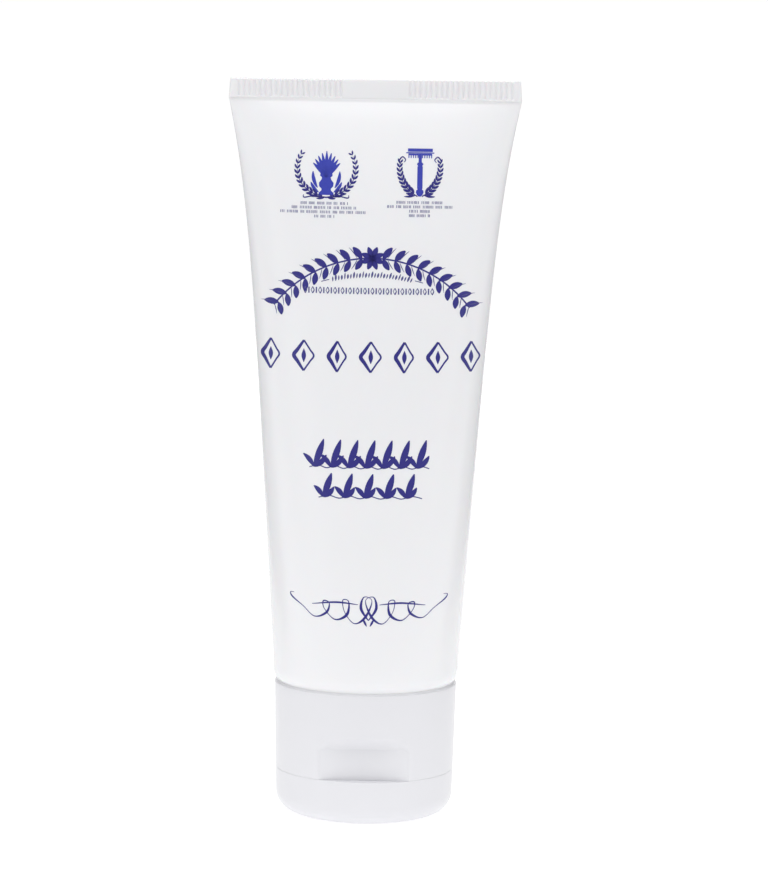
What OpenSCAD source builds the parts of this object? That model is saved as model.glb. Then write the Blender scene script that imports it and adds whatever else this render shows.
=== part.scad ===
// Squeeze tube of shaving cream that stands head-down on a flush flip-top cap.
// Origin: centre of the flat standing face. +Z runs up to the crimp, X runs along the crimp's
// width, -Y is the front with the thumb recess, and the lid's hinge is at the back, on +Y.

/* [Sleeve] */
// Outside diameter of the sleeve's round end
tube_d = 35; // [32:0.5:50]
// Length of the sleeve, from the seam above the cap to the end of the crimp
sleeve_len = 113.5; // [80:0.1:180]
// Thickness of the sleeve's plastic
sleeve_wall = 0.5; // [0.35:0.05:0.7]
// Radius of the curl where the sleeve turns in over the shoulder
curl_r = 4; // [2.5:0.1:5.5]

/* [Crimp] */
// Height of the heat-sealed crimp
crimp_h = 3.8; // [3:0.1:6]
// Thickness of the crimp over its ribs
crimp_t = 1.1; // [0.9:0.05:1.6]
// Distance from one rib to the next
rib_pitch = 1; // [0.7:0.05:2]
// Depth of the grooves between the ribs
rib_depth = 0.16; // [0.05:0.01:0.3]
// Width of the plain panel between the two runs of ribs
plain_w = 11.8; // [5:0.1:20]
// Plain edge left at each end of the crimp
rib_margin = 1.1; // [0.5:0.1:3]

/* [Head] */
// Outside diameter of the neck
neck_d = 20; // [16:0.1:22]
// Wall of the neck
neck_wall = 1.5; // [1:0.1:2.5]
// Thickness of the shoulder
shoulder_t = 1.4; // [1:0.1:2]
// Slope of the shoulder from level, in degrees
shoulder_slope = 18; // [5:1:25]
// Height of the collar that the sleeve is welded round
collar_h = 2; // [1.5:0.1:6]
// Thickness of that collar
collar_t = 1; // [0.6:0.1:1.5]
// Radius of the snap bead round the neck
bead_r = 0.6; // [0.3:0.05:0.8]

/* [Cap] */
// Height of the closed cap
cap_h = 24.6; // [20:0.1:34]
// How far the cap's rim stands in from the sleeve's outside
cap_inset = 0.35; // [0:0.05:0.8]
// Draft of the cap's side, in degrees
cap_draft = 1.3; // [0.3:0.1:2]
// Wall of the cap's skirt and of the lid's side
cap_wall = 1.4; // [1:0.1:2]
// Rounding between the side and the standing face
corner_r = 4; // [2:0.1:6]
// Height of the flip lid
lid_h = 8.5; // [8:0.1:13]
// Thickness of the lid's standing face
lid_face_t = 1.6; // [1.2:0.1:2.5]
// Thickness of the deck that closes the cap's base
deck_t = 1.5; // [1:0.1:2.5]
// Height of the ring that snaps over the neck
snap_ring_h = 8; // [6:0.5:9]
// Height of the ring that seals inside the neck
seal_ring_h = 2.5; // [1.5:0.1:4]
// Wall of both rings
ring_wall = 1.2; // [0.8:0.1:1.6]
// Height of the rim on the deck that the lid closes round
rim_h = 2.1; // [1:0.1:3]

/* [Spout] */
// Bore of the dispensing hole
orifice_d = 5; // [3:0.1:8]
// Wall of the spout at its end
spout_wall = 1.5; // [1:0.1:3]
// How far the spout stands out of the deck
spout_h = 4.2; // [3:0.1:6]
// How far the lid's plug goes into the hole
plug_in = 1.2; // [0.8:0.1:1.6]

/* [Thumb recess] */
// Width of the recess
recess_w = 17.6; // [12:0.1:20]
// Height of the recess
recess_h = 8.1; // [5:0.1:10]
// Depth of the recess at its middle
recess_depth = 2.3; // [1:0.1:2.8]
// Height of its sloping top
recess_slope_h = 2.4; // [0.8:0.1:3]
// Rounding of its two upper corners
recess_corner_r = 2.8; // [1:0.1:3.5]

/* [Hinge] */
// Depth of the flat that the hinge sits on, from the cap's side
window_depth = 1.8; // [1.6:0.1:2.2]
// Height of that flat above and below the parting line
window_h = 3.6; // [3:0.1:4]
// Width of the spring strap in the middle
strap_w = 3.6; // [2.5:0.1:4]
// Thickness of the spring strap
strap_t = 0.6; // [0.4:0.05:0.7]
// Width of each film web beside it
web_w = 2.4; // [1.5:0.1:2.6]
// Thickness of the film webs
web_t = 0.35; // [0.25:0.05:0.5]

/* [Fits] */
// Gap between the cap's rim and the shoulder
seam_gap = 0.1; // [0.08:0.01:0.5]
// Gap at the parting line between base and lid
parting_gap = 0.08; // [0.06:0.01:0.3]
// Clearance between the neck and the cap's rings, on the radius
swivel_gap = 0.08; // [0.04:0.01:0.1]
// Gap between the neck's end and the deck
neck_end_gap = 0.3; // [0.2:0.05:0.6]
// Clearance of the rim, the thumb lip and the plug as the lid swings
swing_gap = 0.5; // [0.4:0.05:0.8]
// Gap that stands for the weld between sleeve and head, on the radius
weld_gap = 0.06; // [0.05:0.01:0.1]
// Gap between the cream and what holds it
cream_gap = 0.15; // [0.1:0.05:0.3]

/* [Hidden] */

$fn = 96;
eps = 0.01;

// Sleeve
SEGMENTS = 48;            // points round one ring of the sleeve
RINGS = 15;               // rings from the round end to the crimp
CURL_STEPS = 4;           // rings round the curl
CREAM_SEGMENTS = 32;
CREAM_RINGS = 9;
tube_r = tube_d / 2;
curl_angle = 47;          // how far the whole edge turns in
sleeve_angle = 35;        // how far the sleeve itself follows it; the head's lip is the rest
seam_z = cap_h + seam_gap;
curl_top_z = seam_z + curl_r * sin(curl_angle);
sleeve_end_z = curl_top_z - curl_r * sin(sleeve_angle);
total_h = seam_z + sleeve_len;
crimp_z = total_h - crimp_h;
round_top_z = curl_top_z + collar_h;      // the sleeve stays round over the head's collar
body_len = crimp_z - round_top_z;
crimp_w = PI * tube_r - 0.35 * crimp_t;   // a flattened tube is half its girth wide
quarter_girth = PI * tube_d / 4;
GIRTH_POW = 1.3;          // between a flat-sided section (1) and an ellipse (1.53)
girth_k = pow(PI / 2, GIRTH_POW) - 1;
FLARE_EVEN = 0.72;        // share of the widening that is spread along the sleeve
SQUARING = 0.5;           // how much squarer than an ellipse the section is at the crimp
HOLLOW_END = 0.985;       // where the hollow stops, as a share of the way to the crimp
CREAM_END = 0.9;          // where the cream stops, below the crimp

// Head
neck_r = neck_d / 2;
bore_r = neck_r - neck_wall;
deck_in_z = lid_h + parting_gap / 2 + deck_t;
neck_end_z = deck_in_z + neck_end_gap;
bead_z = deck_in_z + snap_ring_h / 2;
edge_r = tube_r - curl_r + curl_r * cos(curl_angle);
land_r = edge_r - 0.9;    // flat land above the cap's rim
neck_top_z = shoulder_z(neck_r);
shelf_r = land_r - 0.6;   // where the shoulder's inside turns up to the collar
head_wall_r = tube_r - sleeve_wall - weld_gap;
head_curl_r = head_wall_r - (tube_r - curl_r);

// Cap
cap_r = tube_r - cap_inset;
cap_foot_r = cap_r - cap_h * tan(cap_draft);
corner_x = cap_foot_r + corner_r * tan(cap_draft) - corner_r / cos(cap_draft);
base_z = lid_h + parting_gap / 2;
lid_z = lid_h - parting_gap / 2;
rim_edge = 0.4;           // rounding of the cap's rim
lid_inner_corner = corner_r / 2;
recess_y = -(cap_side(lid_h) - recess_depth);
lip_y = recess_y + 0.1;
spout_z = base_z - spout_h;
orifice_r = orifice_d / 2;
spout_r = orifice_r + spout_wall;
plug_r = orifice_r - 0.15;
plug_tip_r = orifice_r - swing_gap;
flat_y = cap_side(lid_h) - window_depth;
flat_x = sqrt(pow(cap_side(lid_h), 2) - pow(flat_y, 2));
hinge_x = strap_w / 2 + 0.5 + web_w;                       // outer edge of the webs
hinge_y = sqrt(pow(cap_side(lid_h), 2) - pow(hinge_x, 2)) - strap_t / 2;
backing = 1.1;            // wall kept behind the recess and behind the hinge flat
rim_r = min(-lip_y, flat_y - backing) - swing_gap;

// Radius of the cap's outside at height z
function cap_side(z) = cap_r - (cap_h - z) * tan(cap_draft);

// Share of the widening reached at t, from 0 at the round end to 1 at the crimp
function flare(t) = FLARE_EVEN * t + (1 - FLARE_EVEN) * pow(t, 6);

// Half width of the sleeve at t
function half_w(t) = tube_r + (crimp_w / 2 - tube_r) * flare(t);

// Half depth at t: the girth never changes, so the tube grows thinner as it grows wider
function half_d(t) =
    let (a = tube_r + (quarter_girth - tube_r) * flare(t))
    let (rest = max(0, pow(quarter_girth, GIRTH_POW) - pow(a, GIRTH_POW)) / girth_k)
    max(crimp_t / 2 - rib_depth, pow(rest, 1 / GIRTH_POW));

// One ring of points: a squared ellipse of half sizes a and b at height z
function ring(a, b, z, t, n) =
    [for (i = [0 : n - 1])
        let (c = cos(360 * i / n), s = sin(360 * i / n), p = 2 / (2 + SQUARING * t))
        [a * sign(c) * pow(abs(c), p), b * sign(s) * pow(abs(s), p), z]];

// The ring of the sleeve at t, drawn in by inset
function sleeve_ring(t, inset, n) =
    ring(half_w(t) - inset, half_d(t) - inset, round_top_z + body_len * t, t, n);

// The ring of the curl at angle q, drawn in by inset and cut level with the sleeve's end
function curl_ring(q, inset, n) =
    let (drop = curl_r * sin(q), r = curl_r - inset)
    let (radius = tube_r - curl_r + sqrt(pow(r, 2) - pow(drop, 2)))
    ring(radius, radius, curl_top_z - drop, 0, n);

// Steps from 0 to 1 that lie closer together towards the crimp
function step_at(i, n) = 1 - pow(1 - i / n, 1.5);

// Height of the shoulder's outer face at radius r
function shoulder_z(r) = seam_z - (land_r - r) * tan(shoulder_slope);

// Faces between neighbouring rings of n points, starting at ring number first
function side_faces(first, count, n, inward = false) =
    [for (k = [first : first + count - 2], i = [0 : n - 1])
        let (j = (i + 1) % n, low = k * n, high = low + n)
        inward ? [low + i, low + j, high + j, high + i] : [low + i, high + i, high + j, low + j]];

// Closed shell of the sleeve: outside rings first, then inside rings, joined at the open end
module sleeve_shell() {
    curl = [for (k = [CURL_STEPS : -1 : 0]) sleeve_angle * k / CURL_STEPS];
    outside = concat([for (q = curl) curl_ring(q, 0, SEGMENTS)],
                     [for (i = [0 : RINGS]) sleeve_ring(step_at(i, RINGS), 0, SEGMENTS)]);
    inside = concat([for (q = curl) curl_ring(q, sleeve_wall, SEGMENTS)],
                    [for (i = [0 : RINGS])
                        sleeve_ring(HOLLOW_END * step_at(i, RINGS), sleeve_wall, SEGMENTS)]);
    count = len(outside);
    inner = count * SEGMENTS;
    points = [for (one_ring = concat(outside, inside), p = one_ring) p];
    outer_top = [for (i = [SEGMENTS - 1 : -1 : 0]) inner - SEGMENTS + i];
    inner_top = [for (i = [0 : SEGMENTS - 1]) 2 * inner - SEGMENTS + i];
    end_face = [for (i = [0 : SEGMENTS - 1])
                   let (j = (i + 1) % SEGMENTS)
                   [i, j, inner + j, inner + i]];
    polyhedron(points, concat(side_faces(0, count, SEGMENTS),
                              side_faces(count, count, SEGMENTS, inward = true),
                              [outer_top, inner_top], end_face));
}

// Sealed end: a flat bar with grooves cut in both faces, either side of a plain panel
module crimp_bar() {
    half_t = crimp_t / 2;
    run = crimp_w / 2 - rib_margin - plain_w / 2;
    grooves = floor(run / rib_pitch);
    translate([0, 0, crimp_z - crimp_h / 8])
        linear_extrude(crimp_h * 9 / 8)
            difference() {
                square([crimp_w, crimp_t], center = true);
                for (side = [-1, 1], face = [-1, 1], k = [0 : grooves - 1])
                    translate([side * (plain_w / 2 + (k + 0.5) * rib_pitch), face * half_t])
                        polygon([[-rib_pitch * 0.4, face * eps], [rib_pitch * 0.4, face * eps],
                                 [0, -face * rib_depth]]);
            }
}

module sleeve() {
    color("white") {
        sleeve_shell();
        crimp_bar();
    }
}

// Moulded shoulder and neck: the sleeve is welded round its collar and down to its lip
module tube_head() {
    lip_r = tube_r - curl_r + curl_r * cos(sleeve_angle);
    lip_angle = asin((curl_top_z - sleeve_end_z) / head_curl_r);
    outside = concat(
        [[neck_r, neck_end_z + 0.5], [neck_r, neck_top_z], [land_r, seam_z], [edge_r, seam_z]],
        [for (q = [curl_angle : -4 : sleeve_angle + 1])
            [tube_r - curl_r + curl_r * cos(q), curl_top_z - curl_r * sin(q)]],
        [[lip_r, sleeve_end_z]],
        [for (q = [lip_angle : -lip_angle / 6 : 0])
            [tube_r - curl_r + head_curl_r * cos(q), curl_top_z - head_curl_r * sin(q)]],
        [[head_wall_r, round_top_z]]);
    inside = [[head_wall_r - collar_t, round_top_z],
              [head_wall_r - collar_t, curl_top_z],
              [shelf_r, shoulder_z(shelf_r) + shoulder_t],
              [bore_r, shoulder_z(bore_r) + shoulder_t],
              [bore_r, neck_end_z],
              [neck_r - 0.5, neck_end_z]];
    color("white")
        rotate_extrude() {
            polygon(concat(outside, inside));
            intersection() {
                translate([neck_r, bead_z])
                    circle(bead_r, $fn = 24);
                translate([bore_r + eps, 0])
                    square([neck_wall + bead_r, seam_z]);
            }
        }
}

// Soft cream that fills the sleeve and the neck
module cream() {
    inset = sleeve_wall + cream_gap;
    start_z = round_top_z + cream_gap;
    start = cream_gap / body_len;
    steps = [for (i = [0 : CREAM_RINGS]) start + (CREAM_END - start) * i / CREAM_RINGS];
    rings = [for (t = steps) sleeve_ring(t, inset, CREAM_SEGMENTS)];
    count = len(rings);
    last = (count - 1) * CREAM_SEGMENTS;
    points = [for (one_ring = rings, p = one_ring) p];
    low_r = head_wall_r - collar_t - cream_gap;
    throat_r = bore_r - ring_wall - 2 * swivel_gap - cream_gap;
    lift = shoulder_t + 1.2 * cream_gap;      // over the shoulder's inside
    color("ivory") {
        polyhedron(points, concat(side_faces(0, count, CREAM_SEGMENTS),
                                  [[for (i = [0 : CREAM_SEGMENTS - 1]) i]],
                                  [[for (i = [CREAM_SEGMENTS - 1 : -1 : 0]) last + i]]));
        rotate_extrude()
            polygon([[0, neck_end_z], [throat_r, neck_end_z], [throat_r, shoulder_z(throat_r) + lift],
                     [shelf_r - cream_gap, shoulder_z(shelf_r) + lift], [low_r, curl_top_z],
                     [low_r, start_z + eps], [0, start_z + eps]]);
    }
}

// Solid of revolution between the cap's outside and the axis, from low to high, drawn in by inset
module cap_slice(low, high, inset = 0) {
    rotate_extrude()
        polygon([[0, low], [cap_side(low) - inset, low], [cap_side(high) - inset, high], [0, high]]);
}

// Outline of the thumb recess seen from the front, with its foot at height low
module recess_outline(low) {
    straight = recess_h - recess_corner_r;
    translate([-recess_w / 2, low])
        square([recess_w, straight + base_z - low]);
    translate([-recess_w / 2 + recess_corner_r, low])
        square([recess_w - 2 * recess_corner_r, recess_h + base_z - low]);
    for (side = [-1, 1])
        translate([side * (recess_w / 2 - recess_corner_r), base_z + straight])
            circle(recess_corner_r);
}

// Space cut from the cap's base for the thumb: a flat floor with a sloping top
module recess_cut() {
    top = base_z + recess_h;
    out = -cap_r - 1;
    rise = recess_slope_h * (out - recess_y) / -recess_depth;
    intersection() {
        rotate([90, 0, 90])
            linear_extrude(2 * cap_r, center = true)
                polygon([[out, base_z - 1], [recess_y, base_z - 1], [recess_y, top - recess_slope_h],
                         [out, top - recess_slope_h + rise]]);
        rotate([90, 0, 0])
            linear_extrude(2 * cap_r)
                recess_outline(base_z - 2);
    }
}

// Block across the inside of the cap, between two distances from front to back
module inner_block(width, near_y, far_y, low, high) {
    intersection() {
        cap_slice(low, high, 0.3);
        translate([-width / 2, near_y, low - 1])
            cube([width, far_y - near_y, high - low + 2]);
    }
}

// Everything behind the hinge flat, from low to high
module window_cut(low, high) {
    translate([-cap_r, flat_y, low])
        cube([2 * cap_r, cap_r, high - low]);
}

// Base of the flip-top: skirt, deck, spout, snap ring and seal ring in one moulding
module cap_base() {
    snap_in = neck_r + swivel_gap;
    seal_out = bore_r - swivel_gap;
    top_r = cap_side(cap_h);
    color("whitesmoke")
        difference() {
            union() {
                rotate_extrude() {
                    // skirt and deck
                    polygon([[orifice_r, base_z], [cap_side(base_z), base_z],
                             [cap_side(cap_h - rim_edge), cap_h - rim_edge],
                             [top_r - rim_edge * 0.3, cap_h - rim_edge * 0.3],
                             [top_r - rim_edge, cap_h], [top_r - cap_wall, cap_h],
                             [cap_side(deck_in_z) - cap_wall, deck_in_z], [orifice_r, deck_in_z]]);
                    // snap ring, with a lead-in at its mouth
                    polygon([[snap_in, deck_in_z - eps], [snap_in + ring_wall, deck_in_z - eps],
                             [snap_in + ring_wall, deck_in_z + snap_ring_h],
                             [snap_in + 0.5, deck_in_z + snap_ring_h],
                             [snap_in, deck_in_z + snap_ring_h - 0.5]]);
                    // seal ring
                    polygon([[seal_out - ring_wall, deck_in_z - eps], [seal_out, deck_in_z - eps],
                             [seal_out, deck_in_z + seal_ring_h - 0.5],
                             [seal_out - 0.4, deck_in_z + seal_ring_h],
                             [seal_out - ring_wall, deck_in_z + seal_ring_h]]);
                    // rim that the lid closes round
                    polygon([[rim_r - ring_wall, base_z + eps], [rim_r - ring_wall, base_z - rim_h],
                             [rim_r - 0.3, base_z - rim_h], [rim_r, base_z - rim_h + 0.3],
                             [rim_r, base_z + eps]]);
                    // spout
                    polygon([[orifice_r, base_z + eps], [orifice_r, spout_z],
                             [spout_r - 0.4, spout_z], [spout_r, spout_z + 0.4],
                             [spout_r + 0.5, base_z + eps]]);
                }
                inner_block(recess_w + 2 * backing, -cap_r, recess_y + backing,
                            base_z, base_z + recess_h + backing);
                inner_block(2 * flat_x + backing, flat_y - backing, cap_r,
                            base_z, base_z + window_h + backing);
            }
            recess_cut();
            window_cut(base_z - 1, lid_h + window_h);
            rotate_extrude()
                translate([neck_r, bead_z])
                    circle(bead_r + swivel_gap, $fn = 24);
        }
}

// Flip lid: the tube stands on its face, and its plug closes the spout
module lid() {
    wall_r = cap_side(lid_z) - cap_wall;
    foot_wall_r = cap_side(corner_r) - cap_wall;
    plug_z = spout_z + plug_in;
    outer_arc = [for (q = [-90 : 6 : -cap_draft])
                    [corner_x + corner_r * cos(q), corner_r + corner_r * sin(q)]];
    inner_arc = [for (q = [0 : -9 : -90])
                    [foot_wall_r - lid_inner_corner * (1 - cos(q)),
                     lid_face_t + lid_inner_corner * (1 + sin(q))]];
    color("whitesmoke")
        difference() {
            union() {
                rotate_extrude() {
                    polygon(concat([[0, 0]], outer_arc,
                                   [[cap_side(lid_z), lid_z], [wall_r, lid_z]],
                                   inner_arc, [[0, lid_face_t]]));
                    polygon([[0, lid_face_t - eps], [plug_r + 0.6, lid_face_t - eps],
                             [plug_r, lid_face_t + 0.6], [plug_r, spout_z],
                             [plug_tip_r, plug_z], [0, plug_z]]);
                }
                // thumb lip below the recess
                inner_block(recess_w, -cap_r, lip_y, lid_z - rim_h, lid_z);
                inner_block(2 * flat_x + backing, flat_y - backing, cap_r,
                            lid_h - window_h - backing, lid_z);
            }
            window_cut(lid_h - window_h, lid_z + 1);
        }
}

// Strip that bridges the parting line from the base's flat to the lid's flat
module hinge_strip(centre_x, width, thickness) {
    foot = 1;
    low = 0.9;
    reach = window_h - 0.5;
    inner_y = hinge_y - thickness / 2;
    outer_y = hinge_y + thickness / 2;
    translate([centre_x - width / 2, 0, lid_h])
        rotate([90, 0, 90])
            linear_extrude(width)
                polygon([[flat_y, reach], [outer_y, low], [outer_y, -low], [flat_y, -reach],
                         [flat_y, foot - reach], [inner_y, -low / 2], [inner_y, low / 2],
                         [flat_y, reach - foot]]);
}

module hinge_web(side) {
    color("whitesmoke")
        hinge_strip(side * (hinge_x - web_w / 2), web_w, web_t);
}

module hinge_web_left() {
    hinge_web(-1);
}

module hinge_web_right() {
    hinge_web(1);
}

module spring_strap() {
    color("gainsboro")
        hinge_strip(0, strap_w, strap_t);
}

sleeve();
tube_head();
cream();
cap_base();
lid();
hinge_web_left();
hinge_web_right();
spring_strap();
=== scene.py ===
"""A squeeze tube of shaving cream standing head-down on its flip-top cap.

The sections follow the tube as it is put together: moulded head, sleeve welded round it, printing,
cream, cap base, lid, living hinge, and last the studio it stands in. Lengths are in millimetres
until a mesh is built. The front, with the print and the thumb recess, faces -Y.
"""
import math
import random

import bpy
from mathutils import Euler, Matrix, Vector


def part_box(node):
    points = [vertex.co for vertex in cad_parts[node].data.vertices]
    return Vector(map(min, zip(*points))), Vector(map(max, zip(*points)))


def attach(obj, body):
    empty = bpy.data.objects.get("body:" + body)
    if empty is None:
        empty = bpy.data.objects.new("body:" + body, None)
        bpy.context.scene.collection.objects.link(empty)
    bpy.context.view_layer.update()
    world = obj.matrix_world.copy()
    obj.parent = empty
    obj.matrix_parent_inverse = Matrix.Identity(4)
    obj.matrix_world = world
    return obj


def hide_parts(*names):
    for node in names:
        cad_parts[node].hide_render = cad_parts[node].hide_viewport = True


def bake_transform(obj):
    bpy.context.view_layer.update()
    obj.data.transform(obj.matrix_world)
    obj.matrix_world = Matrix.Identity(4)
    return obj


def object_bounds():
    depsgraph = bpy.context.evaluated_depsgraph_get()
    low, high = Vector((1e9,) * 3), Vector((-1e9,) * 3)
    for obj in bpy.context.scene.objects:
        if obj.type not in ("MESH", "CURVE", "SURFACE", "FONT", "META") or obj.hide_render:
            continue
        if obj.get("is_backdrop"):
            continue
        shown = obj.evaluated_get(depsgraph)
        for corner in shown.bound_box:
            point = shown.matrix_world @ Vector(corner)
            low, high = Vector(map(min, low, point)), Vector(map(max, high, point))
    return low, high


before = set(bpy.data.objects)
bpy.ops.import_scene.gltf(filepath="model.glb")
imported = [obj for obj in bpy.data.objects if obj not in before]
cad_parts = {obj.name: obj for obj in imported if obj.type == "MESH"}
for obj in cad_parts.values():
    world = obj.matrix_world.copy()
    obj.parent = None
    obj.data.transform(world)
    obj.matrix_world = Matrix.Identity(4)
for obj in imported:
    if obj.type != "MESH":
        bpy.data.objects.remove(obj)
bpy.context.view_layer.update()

# --- Tube head -----------------------------------------------------------------------------------
# The shoulder and neck, injection moulded in high-density polyethylene. The sleeve is welded
# round its collar, and only the lip beside the seam can be seen. Its shape is the frame's own.

MM = 0.001


def linear(hex_colour):
    """The linear RGBA of an sRGB hex colour."""
    channels = [int(hex_colour[i:i + 2], 16) / 255 for i in (1, 3, 5)]
    return tuple(c / 12.92 if c <= 0.04045 else ((c + 0.055) / 1.055) ** 2.4
                 for c in channels) + (1.0,)


def new_material(name):
    """A material with its node tree, its principled shader, and the object's own coordinates."""
    made = bpy.data.materials.new(name)
    made.use_nodes = True
    shader = made.node_tree.nodes["Principled BSDF"]
    place = made.node_tree.nodes.new("ShaderNodeTexCoord").outputs["Object"]
    return made, shader, place


def add(tree, kind, inputs=None, **settings):
    """Adds a node: settings are its own properties, inputs are values or sockets to link."""
    node = tree.nodes.new(kind)
    for key, value in settings.items():
        setattr(node, key, value)
    fill(tree, node, inputs or {})
    return node


def fill(tree, node, inputs):
    """Sets or links a node's inputs, by name or by number."""
    for key, value in inputs.items():
        if isinstance(value, bpy.types.NodeSocket):
            tree.links.new(value, node.inputs[key])
        else:
            node.inputs[key].default_value = value


def per_mm(count):
    """The texture scale that gives this many features in a millimetre."""
    return count / MM


# Natural polyethylene, moulded: milky white with a soft satin skin. The melt leaves a faint
# mottle of about 8 mm.
head_plastic, shader, place = new_material("head_polyethylene_moulded")
tree = head_plastic.node_tree
mottle = add(tree, "ShaderNodeTexNoise", {"Vector": place, "Scale": per_mm(0.12), "Detail": 3.0})
tint = add(tree, "ShaderNodeMix", {"Factor": mottle.outputs["Fac"], "A": linear("#edecea"),
                                   "B": linear("#f2f2f1")}, data_type="RGBA")
fill(tree, shader, {"Base Color": tint.outputs["Result"], "Roughness": 0.38, "IOR": 1.54})

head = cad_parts["tube_head"]
head.data.materials.clear()
head.data.materials.append(head_plastic)

# --- Sleeve --------------------------------------------------------------------------------------
# Half a millimetre of extruded polyethylene, round where it is welded to the head. The other end
# is pressed flat and heat-sealed between ribbed jaws, so its girth is the same all the way up.

CURL_R = 4.0            # the end turns in over the shoulder
SLEEVE_ANGLE = 35.0     # degrees of that curl which the sleeve covers
SLEEVE_WALL = 0.5
CRIMP_H = 3.8
CRIMP_T = 1.1
FLARE_EVEN = 0.72       # share of the widening spread evenly; the rest comes close to the crimp
FLARE_POWER = 6
GIRTH_POWER = 1.3
SQUARING = 0.5
HOLLOW_END = 0.985

sleeve_low, sleeve_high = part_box("sleeve")
head_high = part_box("tube_head")[1]
tube_r = sleeve_high.y / MM
crimp_half = sleeve_high.x / MM
total_h = sleeve_high.z / MM
sleeve_end_z = sleeve_low.z / MM
round_top_z = head_high.z / MM
curl_top_z = sleeve_end_z + CURL_R * math.sin(math.radians(SLEEVE_ANGLE))
crimp_z = total_h - CRIMP_H
quarter_girth = math.pi * tube_r / 2


def clamp(value):
    return min(1.0, max(0.0, value))


def ease(value):
    """Smooth step from 0 to 1."""
    value = clamp(value)
    return value * value * (3 - 2 * value)


def along(z):
    """How far up the sleeve z is: 0 at the top of the round end, 1 at the crimp."""
    return clamp((z - round_top_z) / (crimp_z - round_top_z))


def flare(t):
    """How much of the widening is done at t."""
    return FLARE_EVEN * t + (1 - FLARE_EVEN) * t ** FLARE_POWER


def half_width(t):
    """Half the sleeve's width at t."""
    return tube_r + (crimp_half - tube_r) * flare(t)


def half_depth(t):
    """Half its depth at t. The girth never changes, so the tube grows thinner as it widens."""
    wide = tube_r + (quarter_girth - tube_r) * flare(t)
    rest = quarter_girth ** GIRTH_POWER - wide ** GIRTH_POWER
    share = (math.pi / 2) ** GIRTH_POWER - 1
    return max(CRIMP_T / 2, (max(0.0, rest) / share) ** (1 / GIRTH_POWER))


def arc_depth(x, a, b, power):
    """Depth of a squared ellipse at x."""
    return b * (1 - min(1.0, abs(x / a)) ** power) ** (1 / power)


# Soft creases that run down and inwards from both ends of the crimp: where each starts, where it
# ends, how wide and how deep it is.
CREASES = [(25.6, 133.5, 19.5, 108.0, 1.1, 0.22), (22.0, 133.5, 15.5, 118.0, 1.4, 0.12),
           (26.4, 131.0, 22.8, 96.0, 0.9, 0.16), (9.0, 134.0, 6.5, 124.0, 1.8, 0.07)]


def creases(x, z):
    """How far the sleeve is drawn in at x and z."""
    drawn = 0.0
    for start_x, start_z, end_x, end_z, width, depth in CREASES:
        share = (start_z - z) / (start_z - end_z)
        if 0 < share < 1:
            middle = start_x + (end_x - start_x) * share
            fade = math.sin(math.pi * share) ** 0.7
            drawn += depth * fade * math.exp(-((abs(x) - middle) / width) ** 2)
    return drawn


def front_y(x, z):
    """Depth of the sleeve's outside at x and z, ahead of its middle plane."""
    t = along(z)
    return arc_depth(x, half_width(t), half_depth(t), 2 + SQUARING * t) - creases(x, z)


SHARP_ANGLE = math.radians(38)      # edges that turn more than this are left crisp


def build(name, points, faces, material, smooth=True):
    """A mesh object from points in millimetres."""
    mesh = bpy.data.meshes.new(name)
    mesh.from_pydata([Vector(p) * MM for p in points], [], faces)
    mesh.validate()
    mesh.materials.append(material)
    if smooth:
        mesh.shade_smooth()
        mesh.set_sharp_from_angle(angle=SHARP_ANGLE)
    made = bpy.data.objects.new(name, mesh)
    bpy.context.scene.collection.objects.link(made)
    return made


def skin(rings, closed_loop=False):
    """Faces between neighbouring rings of the same number of points."""
    n = len(rings[0])
    pairs = list(range(len(rings) - 1)) + ([len(rings) - 1] if closed_loop else [])
    faces = []
    for k in pairs:
        low, high = k * n, ((k + 1) % len(rings)) * n
        faces += [(low + i, low + (i + 1) % n, high + (i + 1) % n, high + i) for i in range(n)]
    return [p for one_ring in rings for p in one_ring], faces


RIB_PITCH = 1.0
RIB_DEPTH = 0.36        # deeper than the jaws leave on thin plastic, so that the ribs show
PLAIN_HALF = 5.9        # half width of the plain panel in the middle of the crimp
RIB_MARGIN = 1.1        # plain edge left at each end
RIB_SHARPNESS = 1.5     # over 1, the grooves are narrower than the ribs between them
CRIMP_TAPER = 0.25      # each end stands in this much at the trimmed edge
END_SQUARING = 60       # how square the crimp's two ends are
TRIM_SLANT = 0.14       # half of what the trimmed edge falls to the left, seen from either face
PER_FACE = 432          # points across one face: eight to a rib


def across(t):
    """Shares of the half width, spaced as the plastic itself is: evenly along the girth."""
    flat = t ** 4
    steps = [-1 + 2 * i / PER_FACE for i in range(PER_FACE)]
    return [(1 - flat) * math.sin(math.pi * s / 2) + flat * s for s in steps]


def sleeve_ring(z, inset=0.0):
    """One ring of the body of the sleeve: the front from left to right, then the back."""
    t = along(z)
    a, b, power = half_width(t) - inset, half_depth(t) - inset, 2 + SQUARING * t
    drawn = 0 if inset else 1
    front = [(a * s, -arc_depth(a * s, a, b, power) + drawn * creases(a * s, z) * (1 - s ** 8), z)
             for s in across(t)]
    return front + [(-x, -y, z) for x, y, z in front]


def curl_ring(angle, inset=0.0):
    """One ring of the curled end, cut level with the sleeve's own end."""
    drop = CURL_R * math.sin(math.radians(angle))
    radius = tube_r - CURL_R + math.sqrt((CURL_R - inset) ** 2 - drop ** 2)
    front = [(radius * s, -radius * math.sqrt(max(0.0, 1 - s * s)), curl_top_z - drop)
             for s in across(0)]
    return front + [(-x, -y, z) for x, y, z in front]


def groove(x):
    """Depth of the jaws' grooves at x, as a share of the full depth."""
    runs = round((crimp_half - RIB_MARGIN - PLAIN_HALF) / RIB_PITCH)
    out = (abs(x) - PLAIN_HALF) / RIB_PITCH
    if not 0 < out < runs:
        return 0.0
    return (0.5 - 0.5 * math.cos(2 * math.pi * out)) ** RIB_SHARPNESS


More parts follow.
